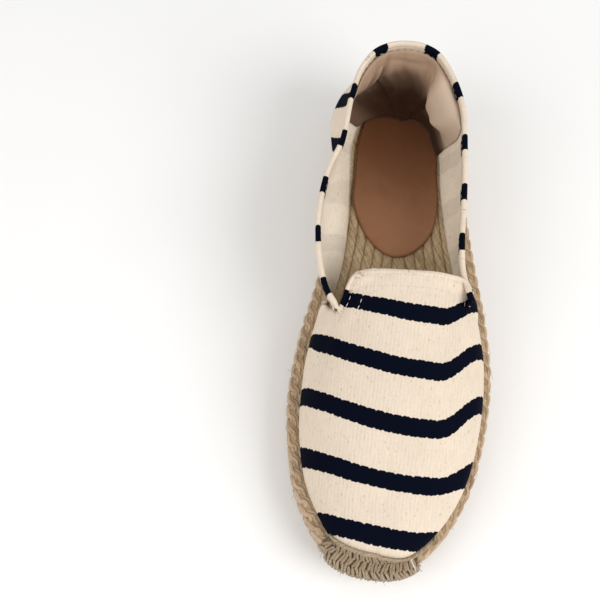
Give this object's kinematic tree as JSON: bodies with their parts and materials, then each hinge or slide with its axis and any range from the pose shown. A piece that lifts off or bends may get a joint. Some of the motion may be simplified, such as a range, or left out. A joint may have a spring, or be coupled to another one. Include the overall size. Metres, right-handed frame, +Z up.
{
  "type": "espadrille",
  "caption": "Flat slip-on espadrille for the left foot: striped canvas upper, braided jute sole, jute toe stitching, thin rubber tread and a brown heel pad.",
  "frame": {"origin": "on the ground, under the middle of the shoe's box", "axes": "+X towards the outer (lateral) side of the left foot, +Y towards the heel, +Z up; the toe points to -Y"},
  "size_m": [0.0944, 0.2558, 0.0653],
  "materials": {
    "rubber": "matt natural crepe rubber",
    "jute": "coarse plaited jute, matt and hairy",
    "canvas": "cream ribbed canvas with near-black woven stripes",
    "pad": "smooth brown leather, slightly satin"
  },
  "bodies": {
    "root": {"rubber_outsole": "rubber", "jute_sole": "jute", "canvas_upper": "canvas", "toe_band": "jute", "heel_pad": "pad"}
  },
  "joints": []
}
